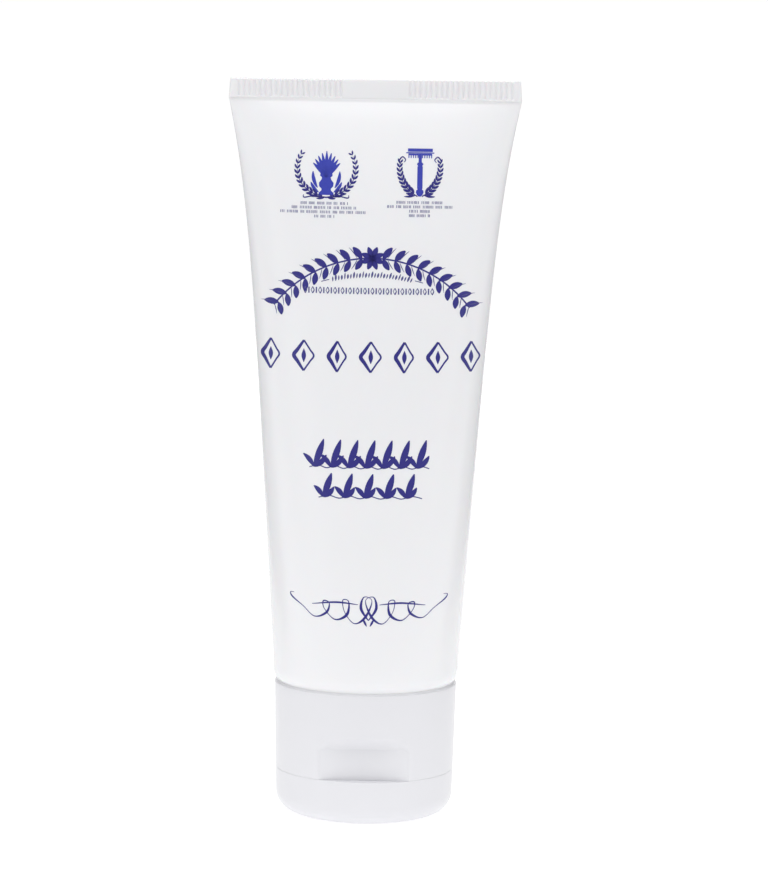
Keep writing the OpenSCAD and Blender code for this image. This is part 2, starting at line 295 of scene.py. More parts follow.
def crimp_ring(up, thickness, press, nick):
    """One ring of the sealed end, this far above its foot. press is how far the ribs have been
    pressed in here, and nick how far the trimmed edge dips in each groove."""
    half = thickness / 2
    half_span = crimp_half - CRIMP_TAPER * up / CRIMP_H
    front = []
    for i in range(PER_FACE):
        share = -1 + 2 * i / PER_FACE
        x = half_span * share
        edge = (1 - abs(share) ** END_SQUARING) ** 0.5
        front.append((x, -half * edge + RIB_DEPTH * press * groove(x),
                      crimp_z + up - nick * groove(x) - TRIM_SLANT * (1 - share) * up / CRIMP_H))
    return front + [(-x, -y, z) for x, y, z in front]


CURL_STEPS = 6
BODY_RINGS = 96
INNER_RINGS = 20
curl_angles = [SLEEVE_ANGLE * (1 - i / CURL_STEPS) for i in range(CURL_STEPS + 1)]


def heights(count, share=1.0):
    """Ring heights from the round end upwards, closer together towards the crimp."""
    return [round_top_z + (crimp_z - round_top_z) * share * (1 - (1 - i / count) ** 1.6)
            for i in range(count + 1)]


# Height over the crimp's foot, thickness, rib depth and nick of each ring: a step at the foot,
# the pressed ribs, and a trimmed top edge.
CRIMP_RINGS = [(0.06, 0.98, 0.0, 0.0), (0.16, 1.08, 0.0, 0.0), (0.3, 1.10, 0.15, 0.0),
               (0.48, 1.10, 1.0, 0.0), (1.4, 1.10, 1.0, 0.0), (2.4, 1.10, 1.0, 0.0),
               (3.5, 1.10, 1.0, 0.05), (3.7, 1.08, 0.9, 0.12), (3.8, 0.96, 0.8, 0.16)]

outside = [curl_ring(a) for a in curl_angles]
outside += [sleeve_ring(z) for z in heights(BODY_RINGS)[:-1]]
outside += [crimp_ring(*row) for row in CRIMP_RINGS]
inside = [sleeve_ring(z, SLEEVE_WALL) for z in reversed(heights(INNER_RINGS, HOLLOW_END))]
inside += [curl_ring(a, SLEEVE_WALL) for a in reversed(curl_angles)]

ring_size = 2 * PER_FACE
points, faces = skin(outside)
inner_points, inner_faces = skin(inside)
first_inner = len(points)
points += inner_points
faces += [tuple(first_inner + i for i in face) for face in inner_faces]


def lid_over(start, n, up):
    """Closes a flattened ring across its middle, from the front's points to the back's."""
    half = n // 2
    strip = [(start + i, start + i + 1, start + (n - i - 1) % n, start + (n - i) % n)
             for i in range(half)]
    strip = [tuple(dict.fromkeys(face)) for face in strip]
    return strip if up else [tuple(reversed(face)) for face in strip]


faces += lid_over((len(outside) - 1) * ring_size, ring_size, True)
faces += lid_over(first_inner, ring_size, False)
last_inner = first_inner + (len(inside) - 1) * ring_size
faces += [(last_inner + i, last_inner + (i + 1) % ring_size, (i + 1) % ring_size, i)
          for i in range(ring_size)]

# Extruded polyethylene with a pearl lacquer: bright, cool white, glossy, with a little light
# carried through the wall. Its die lines are too fine to show and are drawn 0.45 mm apart. The
# roll and the hand leave broad waves of about 20 mm.
sleeve_plastic, shader, place = new_material("sleeve_polyethylene_lacquered")
tree = sleeve_plastic.node_tree
stretch = add(tree, "ShaderNodeMapping", {"Vector": place, "Scale": (1, 1, 0.02)})
die_lines = add(tree, "ShaderNodeTexNoise", {"Vector": stretch.outputs[0], "Scale": per_mm(2.2),
                                             "Detail": 2.0})
waves = add(tree, "ShaderNodeTexNoise", {"Vector": place, "Scale": per_mm(0.05), "Detail": 2.0})
tint = add(tree, "ShaderNodeMix", {"Factor": waves.outputs["Fac"], "A": linear("#ececee"),
                                   "B": linear("#eeeef1")}, data_type="RGBA")
gloss = add(tree, "ShaderNodeMapRange", {"Value": waves.outputs["Fac"], "To Min": 0.2,
                                         "To Max": 0.28})
fine = add(tree, "ShaderNodeBump", {"Height": die_lines.outputs["Fac"], "Strength": 0.06,
                                    "Distance": 0.02 * MM})
broad = add(tree, "ShaderNodeBump", {"Height": waves.outputs["Fac"], "Strength": 0.25,
                                     "Distance": 0.5 * MM, "Normal": fine.outputs["Normal"]})
fill(tree, shader, {"Base Color": tint.outputs["Result"], "Roughness": gloss.outputs["Result"],
                    "IOR": 1.51, "Subsurface Weight": 0.08, "Subsurface Scale": 0.6 * MM,
                    "Normal": broad.outputs["Normal"]})

sleeve = build("sleeve_skin", points, faces, sleeve_plastic)
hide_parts("sleeve")
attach(sleeve, "tube")

# --- Printing ------------------------------------------------------------------------------------
# Screen-printed UV ink in indigo and blue, on the front only. It is all ornament: a brush in a
# wreath, a razor in sprigs, rows of ticks, a garland, lozenges, trefoils and a flourish.

INK_UP = 0.03           # the film stands proud by this much, three times the real thing, to show
INK_SINK = 0.05


def film(name, strokes, material):
    """One print. Each stroke is a path of (x, z, half width), laid on the sleeve as a thin film."""
    points, faces = [], []
    for path in strokes:
        parts = max(1, math.ceil(max(half for x, z, half in path) / 0.2))
        rings = []
        for i, (x, z, half) in enumerate(path):
            back_x, back_z, _ = path[max(0, i - 1)]
            next_x, next_z, _ = path[min(len(path) - 1, i + 1)]
            run = math.hypot(next_x - back_x, next_z - back_z)
            side_x, side_z = (back_z - next_z) / run, (next_x - back_x) / run
            shares = [max(half, 0.02) * (1 - 2 * k / parts) for k in range(parts + 1)]
            row = [(x + side_x * s, z + side_z * s) for s in shares]
            rings.append([(u, -front_y(u, w) - INK_UP, w) for u, w in row]
                         + [(u, -front_y(u, w) + INK_SINK, w) for u, w in reversed(row)])
        stroke_points, stroke_faces = skin(rings)
        ring_count = len(rings[0])
        stroke_faces.append(tuple(reversed(range(ring_count))))
        stroke_faces.append(tuple(range(len(stroke_points) - ring_count, len(stroke_points))))
        first = len(points)
        points += stroke_points
        faces += [tuple(first + i for i in face) for face in stroke_faces]
    made = build(name, points, faces, material, smooth=False)
    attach(made, "tube")
    return made


def line(x, z, end_x, end_z, half, steps=6):
    """A straight stroke."""
    return [(x + (end_x - x) * i / steps, z + (end_z - z) * i / steps, half)
            for i in range(steps + 1)]


def leaf(x, z, turn, length, half, bend=0.0, blunt=0.8):
    """A leaf that grows from x and z. turn is its heading in degrees from the X axis."""
    path = []
    for i in range(11):
        share = i / 10
        heading = math.radians(turn + bend * share)
        if i:
            x, z = x + length / 10 * math.cos(heading), z + length / 10 * math.sin(heading)
        path.append((x, z, half * math.sin(math.pi * (0.04 + 0.92 * share)) ** blunt))
    return path


def spline(knots, per_span=8):
    """A smooth stroke through knots of (x, z, half width)."""
    ends = [knots[0]] + knots + [knots[-1]]
    path = []
    for p, q, r, s in zip(ends, ends[1:], ends[2:], ends[3:]):
        for i in range(per_span):
            t = i / per_span
            path.append(tuple(0.5 * (2 * b + (c - a) * t + (2 * a - 5 * b + 4 * c - d) * t * t
                                     + (3 * b - a - 3 * c + d) * t ** 3)
                              for a, b, c, d in zip(p, q, r, s)))
    return path + [knots[-1]]


def loop(x, z, radius, half, squash=1.0, steps=20):
    """A closed round stroke."""
    turns = [2 * math.pi * i / steps for i in range(steps + 1)]
    return [(x + radius * math.cos(a), z + radius * squash * math.sin(a), half) for a in turns]


def both(strokes, middle=0.0):
    """Strokes and their mirror images about x = middle."""
    return strokes + [[(2 * middle - x, z, half) for x, z, half in path] for path in strokes]


def spray(x, z, turn, bend, length, count, leaf_length, leaf_half):
    """A stem with leaves on both sides, which grow smaller towards its tip."""
    strokes, stem = [], []
    for i in range(count + 1):
        share = i / count
        heading = turn + bend * share
        stem.append((x, z, 0.09 * (1.2 - share)))
        if i:
            size = 1.1 - 0.45 * share
            strokes.append(leaf(x, z, heading + 42, leaf_length * size, leaf_half * size, -20))
            strokes.append(leaf(x, z, heading - 42, leaf_length * size, leaf_half * size, 20))
        x += length / count * math.cos(math.radians(heading))
        z += length / count * math.sin(math.radians(heading))
    return strokes + [spline(stem, 4)]


def ink(name, deep, thin):
    """UV-cured ink: a hard, wet-looking film in which the lamps show as pale streaks. Its grain
    is too fine to show and is drawn as a mottle of 0.6 mm."""
    made, shader, place = new_material(name)
    tree = made.node_tree
    cover = add(tree, "ShaderNodeTexNoise", {"Vector": place, "Scale": per_mm(1.6), "Detail": 3.0})
    tint = add(tree, "ShaderNodeMix", {"Factor": cover.outputs["Fac"], "A": linear(deep),
                                       "B": linear(thin)}, data_type="RGBA")
    skin_bump = add(tree, "ShaderNodeBump", {"Height": cover.outputs["Fac"], "Strength": 0.12,
                                             "Distance": 0.02 * MM})
    fill(tree, shader, {"Base Color": tint.outputs["Result"], "Roughness": 0.3, "IOR": 1.54,
                        "Normal": skin_bump.outputs["Normal"]})
    return made


indigo_ink = ink("ink_indigo_uv", "#231f78", "#2c2984")
blue_ink = ink("ink_blue_uv", "#2733a6", "#3541b2")
pale_ink = ink("ink_indigo_fine", "#45437f", "#57558f")

# Brush in a wreath, above the left rows of ticks.
BRUSH_X = -8.8
brush = [leaf(BRUSH_X, 120.0, 90 + lean, 4.9 - abs(lean) / 30, 0.34, lean / 3)
         for lean in range(-36, 37, 9)]
brush.append([(BRUSH_X, z, half) for z, half in
              ((120.9, 1.1), (120.4, 1.15), (120.1, 0.8), (119.7, 0.9), (119.1, 1.35),
               (118.5, 1.3), (118.0, 0.85), (117.7, 0.9), (117.3, 1.35), (116.9, 1.4))])
brush += both([leaf(BRUSH_X - 1.6, 118.2, 128, 3.2, 0.34, -40),
               leaf(BRUSH_X - 1.4, 117.4, 150, 2.4, 0.3, -40)], BRUSH_X)
film("print_brush", brush, blue_ink)
wreath = both(spray(BRUSH_X - 0.7, 116.8, 172, -118, 10.2, 11, 1.25, 0.24)
              + [leaf(BRUSH_X - 1.0, 116.6, 184, 2.6, 0.2, -30),
                 leaf(BRUSH_X - 0.2, 116.5, 200, 1.6, 0.22, -20)], BRUSH_X)
wreath += both([spline([(BRUSH_X - 4.2, 116.9, 0.06), (BRUSH_X - 4.0, 116.4, 0.12),
                        (BRUSH_X - 2.2, 116.7, 0.1), (BRUSH_X, 116.45, 0.14)])], BRUSH_X)
film("print_wreath", wreath, indigo_ink)

# Safety razor standing in two sprigs, above the right rows of ticks.
RAZOR_X = 8.5
razor = [line(RAZOR_X - 2.3, 125.35, RAZOR_X + 2.3, 125.35, 0.3),
         line(RAZOR_X - 2.6, 124.85, RAZOR_X + 2.6, 124.85, 0.1),
         line(RAZOR_X - 2.2, 124.55, RAZOR_X + 2.2, 124.55, 0.16),
         line(RAZOR_X, 124.6, RAZOR_X, 122.9, 0.3)]
razor.append([(RAZOR_X, z, half) for z, half in
              ((123.1, 0.4), (122.8, 0.62), (122.5, 0.4), (122.3, 0.5), (118.4, 0.5), (118.2, 0.4),
               (118.0, 0.66), (117.6, 0.7), (117.2, 0.5), (116.9, 0.2))])
razor += [line(RAZOR_X + i * 0.42, 124.4, RAZOR_X + i * 0.42, 123.9, 0.09, 2) for i in range(-5, 6) if i]
film("print_razor", razor, blue_ink)
sprigs = both(spray(RAZOR_X - 0.4, 116.9, 150, -70, 7.4, 9, 1.35, 0.26)
              + [spline([(RAZOR_X - 3.4, 122.6, 0.05), (RAZOR_X - 3.9, 123.3, 0.12),
                         (RAZOR_X - 3.3, 124.1, 0.12), (RAZOR_X - 2.7, 123.6, 0.1),
                         (RAZOR_X - 3.0, 123.1, 0.06)]),
                 leaf(RAZOR_X - 0.7, 117.2, 205, 2.2, 0.2, -30)], RAZOR_X)
film("print_sprigs", sprigs, indigo_ink)

# Rows of fine upright ticks in groups, centred under each of the two: middle, height and length of a row.
TICK_ROWS = [(-9.05, 115.4, 8.7), (-9.05, 114.6, 12.0), (-9.05, 113.8, 16.2), (-9.05, 113.0, 3.6),
             (8.6, 115.8, 8.6), (8.6, 115.0, 12.0), (8.6, 114.2, 3.8), (8.6, 113.4, 3.9)]
TICK_TALL = 0.5
chance = random.Random(7)
ticks = []
for middle, z, length in TICK_ROWS:
    x = middle - length / 2
    left_in_group = chance.randint(3, 8)
    while x < middle + length / 2:
        low = z - TICK_TALL / 2
        ticks.append(line(x, low, x, low + TICK_TALL, 0.055, 2))
        x += chance.choice((0.22, 0.3))
        left_in_group -= 1
        if not left_in_group:
            x += 0.35
            left_in_group = chance.randint(3, 8)
film("print_ticks", ticks, pale_ink)

# Arched garland: bold leaves in pairs either side of a stem, each with a hairline beside it.
GARLAND_Z = 82.8        # centre of the arch
GARLAND_R = 22.7
GARLAND_SPAN = 51.5     # degrees to each side
GARLAND_PAIRS = 9
garland = [[(GARLAND_R * math.sin(math.radians(a)), GARLAND_Z + GARLAND_R * math.cos(math.radians(a)),
             0.14) for a in range(3, round(GARLAND_SPAN) + 3, 2)]]
hairlines = []
for i in range(GARLAND_PAIRS):
    at = math.radians(6.2 + (GARLAND_SPAN - 6.2) * i / (GARLAND_PAIRS - 1))
    x, z = GARLAND_R * math.sin(at), GARLAND_Z + GARLAND_R * math.cos(at)
    heading = -math.degrees(at)
    garland.append(leaf(x - 0.5, z, heading + 66, 2.7, 0.6, -16))
    garland.append(leaf(x - 0.5, z, heading - 62, 2.3, 0.56, 16))
    hairlines.append(leaf(x + 0.35, z + 0.1, heading + 66, 2.5, 0.08, -16))
    hairlines.append(leaf(x + 0.35, z - 0.1, heading - 62, 2.1, 0.08, 16))
TOP_Z = GARLAND_Z + GARLAND_R
rosette = [leaf(0, TOP_Z, 22.5 + 45 * i, 2.2, 0.52) for i in range(8)] + [loop(0, TOP_Z, 0.5, 0.16)]
film("print_garland", both(garland) + rosette, indigo_ink)
film("print_garland_hairlines", both(hairlines), pale_ink)

# Two small rows under the arch: a curved one of seeds between dashes, a straight one of lozenges.
ROW_R = 32.0
seeds = []
for i in range(-13, 14):
    x = i * 0.55
    z = 102.4 - x * x / (2 * ROW_R)
    seeds.append(leaf(x - 0.12, z - 0.45, 78 - x * 1.8, 0.9 if i % 3 else 1.2, 0.13 if i % 2 else 0.19))
seeds += both([line(7.9, 101.5, 9.4, 101.1, 0.07)])
for i in range(-17, 18):
    x = -0.6 + i * 0.69
    if i % 2:
        seeds += [line(x, 98.9, x + 0.3, 99.5, 0.1, 3), line(x + 0.3, 99.5, x, 100.1, 0.08, 3)]
        seeds += [line(x, 98.9, x - 0.3, 99.5, 0.06, 3), line(x - 0.3, 99.5, x, 100.1, 0.06, 3)]
    else:
        seeds.append(line(x, 98.95, x, 100.05, 0.12, 3))
film("print_small_rows", seeds, pale_ink)

# Seven tall lozenges, thick on one side and thin on the other, each round a solid one.
LOZENGE_PITCH = 6.2
LOZENGE_TALL = 5.6
lozenges = []
for i in range(-3, 4):
    x, z = i * LOZENGE_PITCH, 87.4
    half_tall, half_wide = LOZENGE_TALL / 2, 1.6 if i % 2 else 1.85
    lozenges += [spline([(x, z + half_tall, 0.2), (x - half_wide * 0.62, z + 1.1, 0.32),
                         (x - half_wide, z, 0.36), (x - half_wide * 0.62, z - 1.1, 0.32),
                         (x, z - half_tall, 0.2)]),
                 spline([(x, z + half_tall, 0.16), (x + half_wide * 0.62, z + 1.1, 0.15),
                         (x + half_wide, z, 0.17), (x + half_wide * 0.62, z - 1.1, 0.15),
                         (x, z - half_tall, 0.16)]),
                 leaf(x, z - 1.25, 90, 2.5, 0.42, 0, 1.3)]
film("print_lozenges", lozenges, indigo_ink)

# Two rows of bold slanting trefoils on a waving stem: foot, first and last place, how many, height.
trefoils, stems = [], []
for foot, start, end, count, tall in ((67.0, -9.4, 9.6, 7, 5.2), (61.5, -7.6, 7.7, 5, 4.5)):
    pitch = (end - start) / (count - 1)
    for i in range(count):
        x = start + pitch * i - 0.8
        trefoils.append(leaf(x, foot, 68, tall * 1.05, 0.62, 6, 0.9))
        trefoils.append(leaf(x, foot, 112, tall * 0.6, 0.46, 34, 0.9))
        trefoils.append(leaf(x + 0.1, foot, 24, tall * 0.62, 0.5, 40, 0.9))
    stems.append(spline([(start - 1.6 + pitch * k / 2, foot + (0.35 if k % 2 else -0.1), 0.09)
                         for k in range(2 * count + 1)], 5))
film("print_trefoils", trefoils, indigo_ink)
film("print_stems", stems, indigo_ink)

# Pen flourish, the same left and right: loops that open out from a knot, thick on each downstroke.
FLOURISH_X = 0.4
pen = [(0.0, 39.0, 0.1), (1.4, 41.2, 0.3), (0.9, 43.3, 0.1), (-0.6, 42.6, 0.07),
       (0.6, 39.6, 0.26), (2.6, 38.4, 0.1), (4.4, 40.4, 0.07), (4.8, 42.6, 0.1),
       (3.7, 42.4, 0.1), (4.0, 40.0, 0.3), (6.2, 39.0, 0.12), (8.2, 40.9, 0.08),
       (8.4, 42.3, 0.14), (7.3, 42.0, 0.1), (7.8, 40.2, 0.26), (10.0, 39.3, 0.1),
       (12.2, 41.0, 0.08), (14.2, 42.4, 0.16), (14.6, 43.2, 0.08), (13.9, 43.3, 0.05)]
pen = [(FLOURISH_X + x, z, half * 0.85) for x, z, half in pen]
bars = [spline([(FLOURISH_X + 2.0, 41.9, 0.05), (FLOURISH_X + 6.0, 42.2, 0.17),
                (FLOURISH_X + 10.5, 41.6, 0.05)]),
        leaf(FLOURISH_X + 0.3, 37.9, 62, 1.6, 0.2)]
film("print_flourish", both([spline(pen)] + bars, FLOURISH_X), indigo_ink)

# --- Cream ---------------------------------------------------------------------------------------
# Soft soap cream, squeezed in through the open end before it was sealed. It fills the neck, the
# shoulder and the sleeve up to a pocket of air under the crimp, where it was left in a soft swirl.

CREAM_GAP = 0.15
CREAM_END = 0.9         # where the cream stops, as a share of the way to the crimp
CREAM_EVERY = 6         # it takes one in six of the sleeve's points

cream_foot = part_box("cream")[0].z / MM
throat_r = 6.99         # inside of the cap's seal ring, less the gaps
COLLAR_TAKES = 1.2      # the head's collar and the gaps on both sides of it
collar_in_r = tube_r - SLEEVE_WALL - COLLAR_TAKES


def even_ring(radius, z):
    """A round ring with its points spaced as the cream's other rings are."""
    front = [(radius * s, -radius * math.sqrt(max(0.0, 1 - s * s)), z)
             for s in across(0)[::CREAM_EVERY]]
    return front + [(-x, -y, z) for x, y, z in front]


TOP_SINK = 2.2          # the middle of the cream's top lies this far below its edge
TOP_WAVE = 0.5          # height of the waves across it


def swirl(one_ring, sink):
    """Draws a ring of the cream's top in towards the middle and down."""
    keep = 1 - sink
    return [(x * keep, y * keep, z - TOP_SINK * sink + TOP_WAVE * math.sin(x * 0.5) * sink * keep)
            for x, y, z in one_ring]


# Up the neck, out along the shoulder's cone, then up inside the collar: radius and height.
CREAM_TURNS = [(throat_r - 0.5, cream_foot), (throat_r, cream_foot + 0.5), (throat_r, 24.2),
               (14.6, 26.4), (collar_in_r, 27.8), (collar_in_r, round_top_z)]
CREAM_SINKS = (0.06, 0.2, 0.4, 0.62, 0.84)
cream_rings = [even_ring(radius, z) for radius, z in CREAM_TURNS]
cream_rings += [sleeve_ring(z, SLEEVE_WALL + CREAM_GAP)[::CREAM_EVERY]
                for z in heights(30, CREAM_END)[1:]]
cream_rings += [swirl(cream_rings[-1], sink) for sink in CREAM_SINKS]
points, faces = skin(cream_rings)
cream_size = len(cream_rings[0])
faces += [tuple(reversed(range(cream_size))), tuple(range(len(points) - cream_size, len(points)))]

# Whipped soap cream: soft, moist and slightly translucent. The filler leaves ripples of 2.5 mm.
cream_soap, shader, place = new_material("cream_soap_whipped")
tree = cream_soap.node_tree
ripple = add(tree, "ShaderNodeTexNoise", {"Vector": place, "Scale": per_mm(0.4), "Detail": 4.0})
tint = add(tree, "ShaderNodeMix", {"Factor": ripple.outputs["Fac"], "A": linear("#f3f0e6"),
                                   "B": linear("#faf8f1")}, data_type="RGBA")
wet = add(tree, "ShaderNodeBump", {"Height": ripple.outputs["Fac"], "Strength": 0.4,
                                   "Distance": 0.3 * MM})
fill(tree, shader, {"Base Color": tint.outputs["Result"], "Roughness": 0.36, "IOR": 1.42,
                    "Subsurface Weight": 0.4, "Subsurface Scale": 1.5 * MM,
                    "Normal": wet.outputs["Normal"]})

cream = build("cream_fill", points, faces, cream_soap)
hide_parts("cream")
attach(cream, "tube")

# --- Cap base ------------------------------------------------------------------------------------
# Half of one injection moulding in white polypropylene. Its ring snaps over the bead of the neck,
# and the thumb recess and the flat for the hinge are formed by the mould.

CAP_H = 24.6
CAP_INSET = 0.35        # how far its rim stands in from the sleeve
DRAFT_ANGLE = math.radians(1.3)
CAP_DRAFT = math.tan(DRAFT_ANGLE)
CAP_WALL = 1.4
DECK_T = 1.5
SPOUT_H = 4.2
RECESS_W = 17.6
RECESS_H = 8.1
RECESS_DEPTH = 2.3
RECESS_SLOPE = 2.4      # height of its sloping top
RECESS_SIDE = 0.6       # width of its steep sides
RECESS_CORNER = 2.8
WINDOW_DEPTH = 1.8
WINDOW_H = 3.6          # the hinge's flat, above and below the parting line
BACKING = 1.1           # plastic behind the recess and the flat

base_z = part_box("cap_base")[0].z / MM + SPOUT_H
lid_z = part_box("lid")[1].z / MM
parting_z = (base_z + lid_z) / 2
cap_r = tube_r - CAP_INSET


def cap_side(z):
    """Radius of the cap's outside at height z."""
    return cap_r - (CAP_H - z) * CAP_DRAFT


recess_y = RECESS_DEPTH - cap_side(parting_z)
flat_y = cap_side(parting_z) - WINDOW_DEPTH
recess_top = base_z + RECESS_H
deck_z = base_z + DECK_T

# Angles round the cap from its front, closer together at the recess and at the hinge.
TURN_STOPS = [(-36, 36, 0.45), (36, 150, 2.0), (150, 210, 0.6), (210, 324, 2.0)]
turns = [math.radians(start + step * i) for start, end, step in TURN_STOPS
         for i in range(round((end - start) / step))]


def soft_max(a, b, soft):
    """The larger of two lengths, rounded off where they cross."""
    return (a + b + math.hypot(a - b, soft)) / 2


def recess_share(x, z, grow):
    """How far the recess has reached its floor at x and z: 0 on its outline, 1 on the floor.
    grow widens the outline."""
    corner = RECESS_CORNER + grow
    past_x = abs(x) - (RECESS_W / 2 + grow - corner)
    past_z = z - (recess_top + grow - corner)
    if past_x > 0 and past_z > 0:
        out = math.hypot(past_x, past_z)
        share = (corner - out) / (RECESS_SIDE + (RECESS_SLOPE - RECESS_SIDE) * past_z / out)
    else:
        share = min((corner - past_x) / RECESS_SIDE, (corner - past_z) / RECESS_SLOPE)
    return 0.8 * clamp(share) + 0.2 * ease(share)


def base_shape(x, y, z, wall):
    """Presses the recess and the hinge's flat into a point. wall is the plastic left outside it,
    or None for a point that neither of them reaches."""
    if wall is None:
        return x, y, z
    if y < 0:
        return x, y + max(0.0, recess_y + wall - y) * recess_share(x, z, wall), z
    reach = clamp((parting_z + WINDOW_H + wall + 0.05 - z) / 0.1)
    return x, y + (-soft_max(-y, wall - flat_y, 0.08) - y) * ease(reach), z


def turned(profile, shape):
    """Rings of a turned solid, from points of (radius, height, wall) that shape() then moves."""
    return [[shape(r * math.sin(a), -r * math.cos(a), z, wall) for a in turns]
            for r, z, wall in profile]


def span(start, end, step):
    """Evenly spaced values from start up or down to end."""
    count = max(1, round(abs(end - start) / step))
    return [start + (end - start) * i / count for i in range(count + 1)]


window_top = parting_z + WINDOW_H
outer_heights = (span(base_z + 0.12, window_top - 0.14, 0.12)
                 + span(window_top - 0.08, window_top + 0.1, 0.03)
                 + span(window_top + 0.2, recess_top + 1, 0.12)
                 + span(recess_top + 2, CAP_H - 0.6, 1.0))
# Shut, the two halves meet with only a hair's breadth between them.
PARTING_SEEN = 0.015
foot_z = lid_z + PARTING_SEEN
profile = [(cap_side(foot_z) - 0.04, foot_z, 0.0), (cap_side(foot_z) - 0.01, foot_z + 0.03, 0.0)]
profile += [(cap_side(z), z, 0.0) for z in outer_heights]
# The rim: a small rounded edge, a step up to the curl over it, then a seat that falls inwards
# along the curl's own line.
RIM_EDGE = 0.2
RIM_UP = 0.25           # it stands this much over the plain height of the cap
SEAT_GAP = 0.015
SEAT_STOPS = (16.7, 16.6, 16.45, 16.35, 16.26)
rim_z = CAP_H + RIM_UP
profile += [(cap_side(CAP_H) - RIM_EDGE * (1 - math.cos(a)), rim_z - RIM_EDGE * (1 - math.sin(a)), None)
            for a in (math.radians(15 * i) for i in range(7))]


def curl_z(radius):
    """Height of the sleeve's curled end at a radius."""
    return curl_top_z - math.sqrt(CURL_R ** 2 - (radius - tube_r + CURL_R) ** 2)


profile += [(SEAT_STOPS[0] + 0.15, rim_z + 0.02, None)]
profile += [(r, curl_z(r) - SEAT_GAP, None) for r in SEAT_STOPS]
profile += [(cap_side(CAP_H) - CAP_WALL, curl_z(SEAT_STOPS[-1]) - SEAT_GAP, None)]
# Down the inside of the skirt, closer together behind the recess's ledge and the flat's edge.
INNER_STOPS = (22.0, 19.0, 18.4, 17.9, 17.4, 16.8, 16.2, 15.6, 15.0, 14.0, window_top + BACKING + 0.2,
               window_top + BACKING, window_top + BACKING - 0.2, 12.0, 11.0, deck_z)
profile += [(cap_side(z) - CAP_WALL, z, BACKING) for z in INNER_STOPS]
# Snap ring with its groove for the bead, then the ring that seals inside the neck.
RING_WALL = 1.2
SNAP_IN = 10.08
SEAL_OUT = 8.42
BEAD_R = 0.68
NECK_R = 10.0
snap_top = deck_z + 8.0
bead_z = deck_z + 4.0
seal_top = deck_z + 2.5
profile += [(SNAP_IN + RING_WALL, z, None) for z in (deck_z, snap_top - 0.15)]
profile += [(SNAP_IN + RING_WALL - 0.15, snap_top, None), (SNAP_IN + 0.5, snap_top, None),
            (SNAP_IN, snap_top - 0.5, None)]
profile += [(max(SNAP_IN, NECK_R + BEAD_R * math.cos(a)), bead_z + BEAD_R * math.sin(a), None)
            for a in (math.radians(80 - 20 * i) for i in range(9))]
profile += [(SNAP_IN, deck_z, None), (SEAL_OUT, deck_z, None), (SEAL_OUT, seal_top - 0.5, None),
            (SEAL_OUT - 0.4, seal_top, None), (SEAL_OUT - RING_WALL, seal_top, None),
            (SEAL_OUT - RING_WALL, deck_z, None)]
# Bore and spout, then the rim that the lid closes round.
ORIFICE_R = 2.5
SPOUT_R = 4.0
RIM_H = 2.1
SWING_GAP = 0.5
lip_y = recess_y + 0.1
rim_r = min(-lip_y, flat_y - BACKING) - SWING_GAP
spout_z = base_z - SPOUT_H
profile += [(ORIFICE_R + 0.3, deck_z, None), (ORIFICE_R, deck_z - 0.3, None),
            (ORIFICE_R, spout_z + 0.25, None), (ORIFICE_R + 0.08, spout_z + 0.08, None),
            (ORIFICE_R + 0.25, spout_z, None), (SPOUT_R - 0.4, spout_z, None),
            (SPOUT_R - 0.12, spout_z + 0.12, None), (SPOUT_R, spout_z + 0.4, None),
            (SPOUT_R + 0.42, base_z - 0.5, None), (SPOUT_R + 0.6, base_z - 0.2, None),
            (SPOUT_R + 0.95, base_z, None), (rim_r - RING_WALL - 0.3, base_z, None),
            (rim_r - RING_WALL, base_z - 0.3, None), (rim_r - RING_WALL, base_z - RIM_H + 0.15, None),
            (rim_r - RING_WALL + 0.15, base_z - RIM_H, None), (rim_r - 0.3, base_z - RIM_H, None),
            (rim_r - 0.09, base_z - RIM_H + 0.09, None), (rim_r, base_z - RIM_H + 0.3, None),
            (rim_r, base_z, None)]
points, faces = skin(turned(profile, base_shape), closed_loop=True)

# White polypropylene from a spark-eroded mould: a soft satin gloss, a touch greyer than the
# lacquered sleeve. The grain is too fine to show and is drawn at 0.2 mm; the flow of the melt
# leaves a mottle of about 20 mm.
cap_plastic, shader, place = new_material("cap_polypropylene_moulded")
tree = cap_plastic.node_tree
flow = add(tree, "ShaderNodeTexNoise", {"Vector": place, "Scale": per_mm(0.05), "Detail": 2.0})
grain = add(tree, "ShaderNodeTexNoise", {"Vector": place, "Scale": per_mm(5.0), "Detail": 1.0})
tint = add(tree, "ShaderNodeMix", {"Factor": flow.outputs["Fac"], "A": linear("#e0e0e4"),
                                   "B": linear("#e2e2e6")}, data_type="RGBA")
eroded = add(tree, "ShaderNodeBump", {"Height": grain.outputs["Fac"], "Strength": 0.02,
                                      "Distance": 0.02 * MM})
fill(tree, shader, {"Base Color": tint.outputs["Result"], "Roughness": 0.28, "IOR": 1.49,
                    "Normal": eroded.outputs["Normal"]})

base = build("cap_base_moulding", points, faces, cap_plastic)
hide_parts("cap_base")
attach(base, "cap")

# --- Lid -----------------------------------------------------------------------------------------
# The other half of the moulding. The tube stands on its flat face, its lip below the recess is
# what the thumb lifts, and its plug stops the spout.

LID_FACE_T = 1.6
LID_CORNER = 4.0
PLUG_R = 2.35
PLUG_TIP_R = 2.0
PLUG_IN = 1.2
corner_x = cap_side(0) + LID_CORNER * CAP_DRAFT - LID_CORNER / math.cos(DRAFT_ANGLE)
lip_foot = lid_z - RIM_H
window_foot = parting_z - WINDOW_H


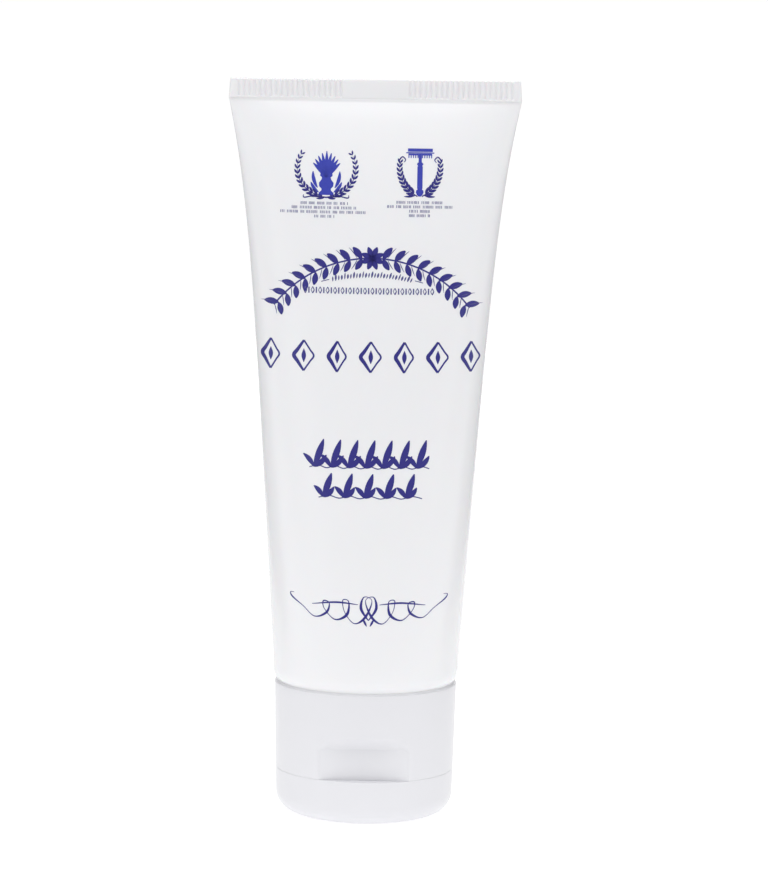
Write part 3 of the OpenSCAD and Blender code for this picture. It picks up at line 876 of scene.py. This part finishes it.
def lid_shape(x, y, z, wall):
    """Presses the hinge's flat into the lid's back, and leaves the thumb lip inside its front."""
    if wall is None:
        return x, y, z
    if y < 0:
        lift = clamp((z - lip_foot + 0.05) / 0.1) * clamp((RECESS_W / 2 - abs(x)) / 0.3)
        return (x, y + (soft_max(y, lip_y, 0.05) - y) * ease(lift), z) if wall else (x, y, z)
    reach = clamp((z - (window_foot - wall) + 0.05) / 0.1)
    return x, y + (-soft_max(-y, wall - flat_y, 0.08) - y) * ease(reach), z


profile = [(r, z, None) for r, z in ((0.6, 0.2), (1.1, 0.2), (1.25, 0.12), (1.32, 0.0), (6.0, 0.0))]
profile += [(corner_x + LID_CORNER * math.cos(a), LID_CORNER + LID_CORNER * math.sin(a), None)
            for a in (math.radians(-90 + 4 * i) for i in range(23))]
profile += [(cap_side(z), z, 0.0) for z in
            span(4.2, window_foot - 0.1, 0.15) + span(window_foot - 0.06, window_foot + 0.06, 0.03)
            + span(window_foot + 0.15, lid_z - 0.2, 0.2)]
TOP_EDGE = 0.06
profile += [(cap_side(lid_z) - TOP_EDGE * (1 - math.cos(a)), lid_z - TOP_EDGE * (1 - math.sin(a)), 0.0)
            for a in (math.radians(22.5 * i) for i in range(5))]
wall_r = cap_side(lid_z) - CAP_WALL
foot_r = cap_side(LID_CORNER) - CAP_WALL
profile += [(wall_r + 0.08, lid_z, BACKING), (wall_r, lid_z - 0.08, BACKING)]
profile += [(wall_r + (foot_r - wall_r) * (lid_z - z) / (lid_z - 3.6), z, BACKING) for z in
            (7.8, 7.0, lip_foot + 0.12, lip_foot + 0.04, lip_foot, lip_foot - 0.04, lip_foot - 0.12, 5.6,
             4.6, window_foot - BACKING + 0.1, window_foot - BACKING + 0.03, window_foot - BACKING - 0.03,
             window_foot - BACKING - 0.1)]
profile += [(foot_r - 2 * (1 - math.cos(a)), LID_FACE_T + 2 * (1 - math.sin(a)), None)
            for a in (math.radians(10 * i) for i in range(10))]
profile += [(PLUG_R + 0.6, LID_FACE_T, None), (PLUG_R + 0.18, LID_FACE_T + 0.18, None),
            (PLUG_R, LID_FACE_T + 0.6, None), (PLUG_R, spout_z, None),
            (PLUG_TIP_R + 0.05, spout_z + PLUG_IN - 0.1, None), (PLUG_TIP_R - 0.1, spout_z + PLUG_IN, None),
            (PLUG_TIP_R - 0.7, spout_z + PLUG_IN, None), (0.5, spout_z + PLUG_IN - 0.4, None)]
points, faces = skin(turned(profile, lid_shape))
faces += [tuple(reversed(range(len(turns)))), tuple(range(len(points) - len(turns), len(points)))]

lid = build("lid_moulding", points, faces, cap_plastic)
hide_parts("lid")
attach(lid, "lid")

# --- Living hinge --------------------------------------------------------------------------------
# Two thin webs and a stiffer strap in the same shot of polypropylene, left as moulded and then
# flexed once while warm. They bend over the parting line and hold the lid open or shut.

STRAP_W, STRAP_T = 3.6, 0.6
WEB_W, WEB_T = 2.4, 0.35
STRIP_FOOT = 1.0
STRIP_REACH = WINDOW_H - 0.5
STRIP_LOW = 0.9
hinge_x = STRAP_W / 2 + 0.5 + WEB_W
hinge_y = math.sqrt(cap_side(parting_z) ** 2 - hinge_x ** 2) - STRAP_T / 2

# Polypropylene that has been flexed: its chains line up, which turns it silkier and whiter. The
# fibre is far too fine to see and is drawn at 0.3 mm.
hinge_plastic, shader, place = new_material("hinge_polypropylene_flexed")
tree = hinge_plastic.node_tree
drawn = add(tree, "ShaderNodeMapping", {"Vector": place, "Scale": (1, 0.2, 0.2)})
fibre = add(tree, "ShaderNodeTexNoise", {"Vector": drawn.outputs[0], "Scale": per_mm(3.0),
                                         "Detail": 2.0})
tint = add(tree, "ShaderNodeMix", {"Factor": fibre.outputs["Fac"], "A": linear("#e6e6ea"),
                                   "B": linear("#f1f1f3")}, data_type="RGBA")
silk = add(tree, "ShaderNodeBump", {"Height": fibre.outputs["Fac"], "Strength": 0.15,
                                    "Distance": 0.02 * MM})
fill(tree, shader, {"Base Color": tint.outputs["Result"], "Roughness": 0.34, "IOR": 1.49,
                    "Normal": silk.outputs["Normal"]})


STRIP_ROWS = 48


def strip_side(depth, top, low):
    """One face of a strip from top to bottom, as (y, z): on the flat at both ends, straight over
    the parting line, with soft turns between."""
    rows = []
    for i in range(STRIP_ROWS + 1):
        height = top * (1 - 2 * i / STRIP_ROWS)
        share = clamp((top - abs(height)) / (top - low))
        rows.append((flat_y + (depth - flat_y) * (0.85 * share + 0.15 * ease(share)),
                     parting_z + height))
    return rows


# Place across a strip as a share of its half width, and how far its faces are drawn in there.
STRIP_EDGES = [(-1, 0.06), (-0.985, 0.02), (-0.95, 0.0), (-0.5, 0.0), (0, 0.0), (0.5, 0.0),
               (0.95, 0.0), (0.985, 0.02), (1, 0.06)]


def strip(name, node, centre_x, width, thickness):
    """A bridge from the base's flat to the lid's."""
    outer = strip_side(hinge_y + thickness / 2, STRIP_REACH, STRIP_LOW)
    inner = strip_side(hinge_y - thickness / 2, STRIP_REACH - STRIP_FOOT, STRIP_LOW / 2)
    rings = [[(centre_x - share * width / 2, y - draw, z) for y, z in outer]
             + [(centre_x - share * width / 2, y + draw / 2, z) for y, z in reversed(inner)]
             for share, draw in STRIP_EDGES]
    points, faces = skin(rings)
    n = len(rings[0])
    last = len(points) - n
    for i in range(STRIP_ROWS):
        faces.append((n - 1 - i, n - 2 - i, i + 1, i))
        faces.append((last + i, last + i + 1, last + n - 2 - i, last + n - 1 - i))
    made = build(name, points, faces, hinge_plastic)
    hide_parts(node)
    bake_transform(made)


web_x = hinge_x - WEB_W / 2
strip("hinge_web_left_flexed", "hinge_web_left", -web_x, WEB_W, WEB_T)
strip("hinge_web_right_flexed", "hinge_web_right", web_x, WEB_W, WEB_T)
strip("spring_strap_flexed", "spring_strap", 0.0, STRAP_W, STRAP_T)

# --- Studio --------------------------------------------------------------------------------------
# A table of milky acrylic lit from below, under an overhead bank and a small front one. A tall
# softbox stands to the left, a narrow one to the right, and grey flags draw the tube's edges.

TABLE_FRONT = -0.6
TABLE_BACK = 0.95
TABLE_SIDE = 1.2


def card(name, corners, material):
    """A flat stage piece."""
    mesh = bpy.data.meshes.new(name)
    mesh.from_pydata(corners, [], [(0, 1, 2, 3)])
    mesh.materials.append(material)
    made = bpy.data.objects.new(name, mesh)
    bpy.context.scene.collection.objects.link(made)
    made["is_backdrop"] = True
    return made


# Milky acrylic: a white glow from below, which fades towards the front, and a soft matt top. The
# sheet is cloudy over some 50 mm.
acrylic, shader, place = new_material("acrylic_milky_lit")
tree = acrylic.node_tree
cloud = add(tree, "ShaderNodeTexNoise", {"Vector": place, "Scale": per_mm(0.02), "Detail": 2.0})
tint = add(tree, "ShaderNodeMix", {"Factor": cloud.outputs["Fac"], "A": linear("#d4d4d4"),
                                   "B": linear("#d6d6d6")}, data_type="RGBA")
spot = add(tree, "ShaderNodeSeparateXYZ", {0: place})
glow = add(tree, "ShaderNodeMapRange", {"Value": spot.outputs["Y"], "From Min": -0.16,
                                        "From Max": -0.065, "To Min": 0.0, "To Max": 0.56})
fill(tree, shader, {"Base Color": tint.outputs["Result"], "Roughness": 0.9,
                    "Specular IOR Level": 0.2, "Emission Color": linear("#ffffff"),
                    "Emission Strength": glow.outputs["Result"]})
card("studio_table", [(-TABLE_SIDE, TABLE_FRONT, 0), (TABLE_SIDE, TABLE_FRONT, 0),
                      (TABLE_SIDE, TABLE_BACK, 0), (-TABLE_SIDE, TABLE_BACK, 0)], acrylic)

# Grey felt flags with a nap drawn at 1 mm. The camera doesn't see them, only their reflection
# along the tube's edges.
felt, shader, place = new_material("felt_grey_flag")
tree = felt.node_tree
nap = add(tree, "ShaderNodeTexNoise", {"Vector": place, "Scale": per_mm(1.0), "Detail": 2.0})
tint = add(tree, "ShaderNodeMix", {"Factor": nap.outputs["Fac"], "A": linear("#9c9c9c"),
                                   "B": linear("#a4a4a4")}, data_type="RGBA")
fill(tree, shader, {"Base Color": tint.outputs["Result"], "Roughness": 1.0,
                    "Specular IOR Level": 0.1})
FLAG_NEAR = (0.17, 0.03)
FLAG_FAR = (0.19, 0.5)
FLAG_H = 0.4
for side, name in ((-1, "flag_left"), (1, "flag_right")):
    near_x, far_x = side * FLAG_NEAR[0], side * FLAG_FAR[0]
    flag = card(name, [(near_x, FLAG_NEAR[1], 0), (far_x, FLAG_FAR[1], 0),
                       (far_x, FLAG_FAR[1], FLAG_H), (near_x, FLAG_NEAR[1], FLAG_H)], felt)
    flag.visible_camera = False


def softbox(name, place, aim, width, height, power):
    """A flat soft lamp at place that faces aim."""
    lamp = bpy.data.lights.new(name, "AREA")
    lamp.shape = "RECTANGLE"
    lamp.size, lamp.size_y = width, height
    lamp.energy = power
    made = bpy.data.objects.new(name, lamp)
    made.location = place
    made.rotation_euler = (Vector(aim) - Vector(place)).to_track_quat("-Z", "Y").to_euler()
    bpy.context.scene.collection.objects.link(made)
    return made


softbox("overhead_bank", (0, -0.1, 1.3), (0, 0.05, 0), 1.6, 1.4, 6.5)
front_bank = softbox("front_bank", (0, -0.3, 0.42), (0, 0, 0.13), 0.5, 0.3, 0.5)
front_bank.visible_glossy = False       # it lifts the upper sleeve and leaves no glare there
softbox("left_softbox", (-0.78, -0.72, 0.5), (0, 0, 0.06), 0.42, 1.1, 0.9)
softbox("right_strip", (0.86, -0.56, 0.5), (0, 0, 0.06), 0.14, 1.1, 0.5)

# The room: white behind, a little darker in front.
world = bpy.data.worlds.new("studio_room")
bpy.context.scene.world = world
world.use_nodes = True
tree = world.node_tree
way = add(tree, "ShaderNodeSeparateXYZ", {0: add(tree, "ShaderNodeTexCoord").outputs["Generated"]})
room = add(tree, "ShaderNodeMapRange", {"Value": way.outputs["Y"], "From Min": -0.6,
                                        "From Max": 0.4, "To Min": 0.52, "To Max": 1.02})
fill(tree, tree.nodes["Background"], {"Color": linear("#ffffff"),
                                      "Strength": room.outputs["Result"]})

CAMERA_PLACE = (0.0027, -0.716, 0.157)
CAMERA_DOWN = 6.87      # degrees below level
CAMERA_ROLL = 1.0
camera_data = bpy.data.cameras.new("camera")
camera_data.sensor_width = 36
camera_data.lens = 157.1
camera_data.clip_end = 20
camera = bpy.data.objects.new("camera", camera_data)
bpy.context.scene.collection.objects.link(camera)
aim = (Euler((math.radians(90 - CAMERA_DOWN), 0, 0)).to_matrix()
       @ Matrix.Rotation(math.radians(CAMERA_ROLL), 3, "Z"))
camera.location = CAMERA_PLACE
camera.rotation_euler = aim.to_euler()
bpy.context.scene.camera = camera
bpy.context.scene.view_settings.view_transform = "Standard"

low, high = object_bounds()
